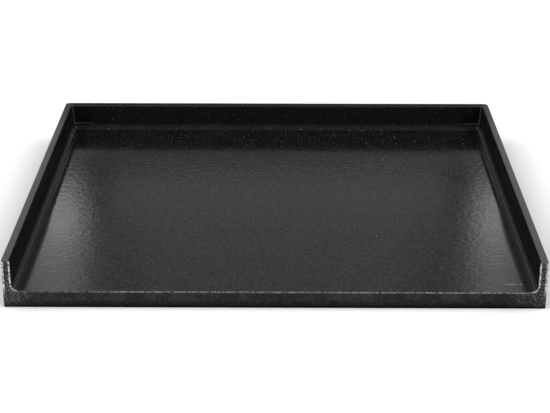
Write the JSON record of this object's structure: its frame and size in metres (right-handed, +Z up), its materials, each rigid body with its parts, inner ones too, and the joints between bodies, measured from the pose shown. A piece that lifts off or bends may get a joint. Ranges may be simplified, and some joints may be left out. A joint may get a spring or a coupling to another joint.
{
  "type": "flat top griddle",
  "caption": "Black coated steel griddle top: a flat cooking plate with raised, coved walls at the sides and back and an open front, to stand over burners.",
  "frame": {"origin": "centre of the footprint, on the surface that the rim stands on", "axes": "+X to the right along the width, +Y from the open front to the back wall, +Z up"},
  "size_m": [0.61, 0.533, 0.057],
  "materials": {
    "cooking_coat": "satin",
    "wall_coat": "satin",
    "dressed_weld": "matte",
    "underside_coat": "matte"
  },
  "bodies": {
    "root": {"cooking_plate": "cooking_coat", "left_inside_weld": "cooking_coat", "right_inside_weld": "cooking_coat", "back_inside_weld": "cooking_coat", "left_wall": "wall_coat", "right_wall": "wall_coat", "back_wall": "wall_coat", "front_rail": "wall_coat", "front_seam_weld": "wall_coat", "left_corner_weld": "dressed_weld", "right_corner_weld": "dressed_weld", "left_front_weld": "dressed_weld", "right_front_weld": "dressed_weld", "left_rear_weld": "dressed_weld", "right_rear_weld": "dressed_weld", "left_stiffener": "underside_coat", "centre_stiffener": "underside_coat", "right_stiffener": "underside_coat", "left_stiffener_welds": "underside_coat", "centre_stiffener_welds": "underside_coat", "right_stiffener_welds": "underside_coat", "left_under_weld": "underside_coat", "right_under_weld": "underside_coat", "back_under_weld": "underside_coat", "front_under_weld": "underside_coat"}
  },
  "joints": []
}
